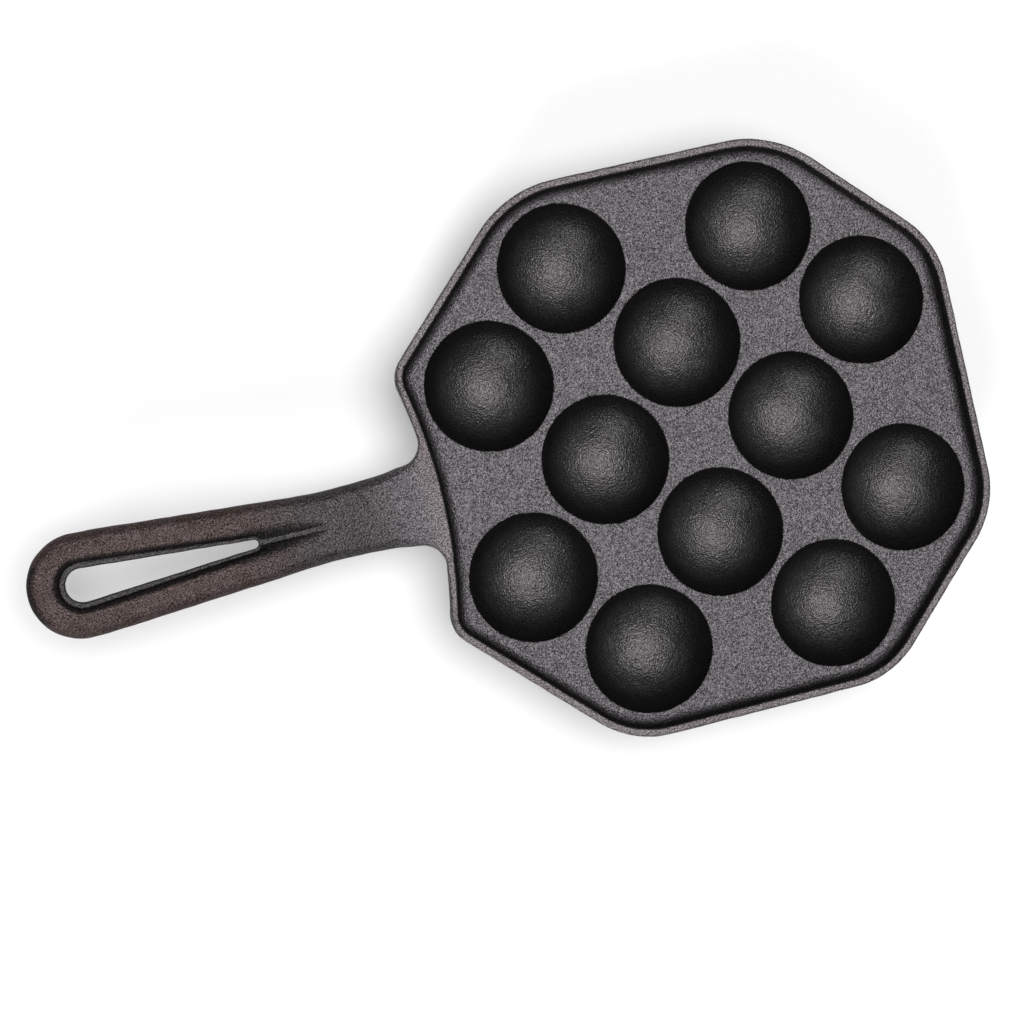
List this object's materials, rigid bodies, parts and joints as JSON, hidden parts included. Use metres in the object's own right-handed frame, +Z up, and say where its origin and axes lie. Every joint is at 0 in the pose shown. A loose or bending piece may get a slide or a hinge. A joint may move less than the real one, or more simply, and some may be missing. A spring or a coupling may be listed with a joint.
{
  "type": "takoyaki pan",
  "caption": "Eight-sided cast pan with a low rim, chequered rows of half-round cups and one looped handle with a hanging slot.",
  "frame": {"origin": "bottom centre of the bounding box, on the plane of the ground feet under the cups", "axes": "+X from the handle towards the pan, +Z up, cups open upwards"},
  "size_m": [0.3325, 0.1954, 0.0344],
  "materials": {
    "iron": "matte, sand-cast grain"
  },
  "bodies": {
    "root": {"pan_casting": "iron"}
  },
  "joints": []
}
